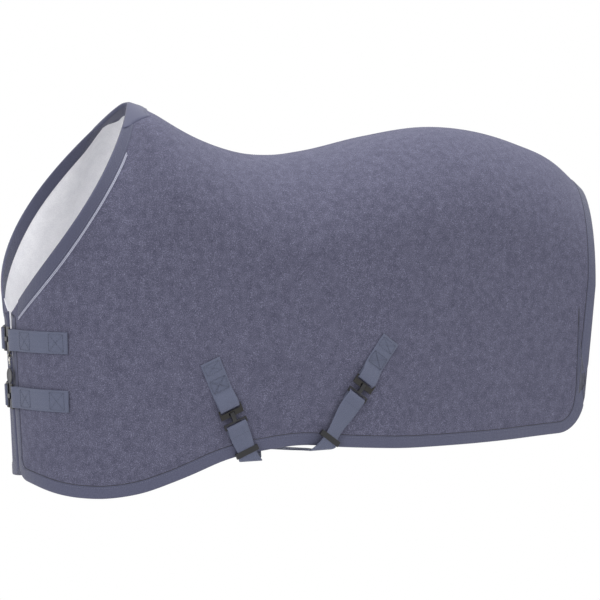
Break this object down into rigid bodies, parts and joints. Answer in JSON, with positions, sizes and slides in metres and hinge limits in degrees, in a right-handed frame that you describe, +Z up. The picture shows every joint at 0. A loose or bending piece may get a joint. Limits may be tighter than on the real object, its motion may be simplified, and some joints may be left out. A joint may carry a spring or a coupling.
{
  "type": "fly sheet",
  "caption": "Fitted horse sheet with light lining, bound edges, chest closures, crossed belly straps and a hanging charm.",
  "frame": {"origin": "lowest point of the back line, on the sheet's centre plane, where the sheet rests on the horse's back", "axes": "+X along the back towards the tail, -Y to the horse's near (left) side with the clips, +Z up"},
  "size_m": [1.591, 0.5989, 0.92],
  "materials": {
    "shell": "heathered fleece",
    "lining": "brushed fleece",
    "binding": "smooth woven tape",
    "webbing": "woven webbing",
    "gunmetal": "gunmetal plating",
    "black_metal": "satin black",
    "bright_metal": "bright nickel",
    "disc": "matt moulded"
  },
  "bodies": {
    "sheet": {"near_side_panel": "shell", "near_side_lining": "lining", "near_edge_binding": "binding", "near_neck_binding": "binding", "near_neck_piping": "binding", "far_side_panel": "shell", "far_side_lining": "lining", "far_edge_binding": "binding", "far_neck_binding": "binding", "far_neck_piping": "binding", "withers_patch": "binding", "back_seam_tape": "binding", "front_belly_tab": "webbing", "front_belly_loop": "gunmetal", "front_belly_hook": "black_metal", "front_belly_strap": "webbing", "front_far_patch": "webbing", "rear_belly_tab": "webbing", "rear_belly_loop": "gunmetal", "rear_belly_hook": "black_metal", "rear_belly_strap": "webbing", "rear_far_patch": "webbing", "upper_chest_tab": "webbing", "upper_chest_loop": "gunmetal", "upper_chest_hook": "black_metal", "upper_chest_far_strap": "webbing", "lower_chest_tab": "webbing", "lower_chest_loop": "gunmetal", "lower_chest_hook": "black_metal", "lower_chest_far_strap": "webbing"},
    "front_gate": {"front_belly_gate": "bright_metal"},
    "rear_gate": {"rear_belly_gate": "bright_metal"},
    "upper_gate": {"upper_chest_gate": "bright_metal"},
    "lower_gate": {"lower_chest_gate": "bright_metal"},
    "front_slider": {"front_strap_slider": "black_metal"},
    "rear_slider": {"rear_strap_slider": "black_metal"},
    "snap": {"charm_snap": "bright_metal"},
    "snap_gate": {"charm_gate": "bright_metal"},
    "swivel": {"charm_swivel": "bright_metal"},
    "tag": {"charm_strap": "webbing", "charm_disc": "disc"}
  },
  "joints": [
    {"name": "front_gate_hinge", "type": "hinge", "parent": "sheet", "child": "front_gate", "pos_m": [-0.20536, -0.28233, -0.60038], "axis": [-0.9226, 0.0521, -0.3823], "range_deg": [0, 15], "stiffness_Nm_per_rad": 0.002, "springref_deg": -17.19},
    {"name": "rear_gate_hinge", "type": "hinge", "parent": "sheet", "child": "rear_gate", "pos_m": [0.12004, -0.29446, -0.55062], "axis": [-0.8025, -0.0167, 0.5965], "range_deg": [0, 15], "stiffness_Nm_per_rad": 0.002, "springref_deg": -17.19},
    {"name": "upper_gate_hinge", "type": "hinge", "parent": "sheet", "child": "upper_gate", "pos_m": [-0.65021, 0.00195, -0.42535], "axis": [-0.0434, 0, 0.9991], "range_deg": [0, 15], "stiffness_Nm_per_rad": 0.002, "springref_deg": -17.19},
    {"name": "lower_gate_hinge", "type": "hinge", "parent": "sheet", "child": "lower_gate", "pos_m": [-0.64444, 0.00195, -0.55836], "axis": [-0.0443, 0, 0.999], "range_deg": [0, 15], "stiffness_Nm_per_rad": 0.002, "springref_deg": -17.19},
    {"name": "front_slider_slide", "type": "slide", "parent": "sheet", "child": "front_slider", "axis": [-0.3817, 0.0216, 0.924], "range_m": [0, 0.03]},
    {"name": "rear_slider_slide", "type": "slide", "parent": "sheet", "child": "rear_slider", "axis": [0.5964, 0.0121, 0.8026], "range_m": [0, 0.03]},
    {"name": "charm_swing", "type": "hinge", "parent": "sheet", "child": "snap", "pos_m": [-0.65094, -0.01045, -0.46372], "axis": [0, 1, 0], "range_deg": [0, 60]},
    {"name": "snap_gate_hinge", "type": "hinge", "parent": "snap", "child": "snap_gate", "pos_m": [-0.65404, -0.01045, -0.46982], "axis": [0, 1, 0], "range_deg": [0, 18], "stiffness_Nm_per_rad": 0.0005, "springref_deg": -17.19},
    {"name": "swivel_turn", "type": "hinge", "parent": "snap", "child": "swivel", "pos_m": [-0.65094, -0.01045, -0.48232], "axis": [0, 0, 1], "range_deg": [-10, 10]},
    {"name": "tag_swing", "type": "hinge", "parent": "swivel", "child": "tag", "pos_m": [-0.65094, -0.01045, -0.48652], "axis": [0, 1, 0], "range_deg": [-2, 40]}
  ]
}
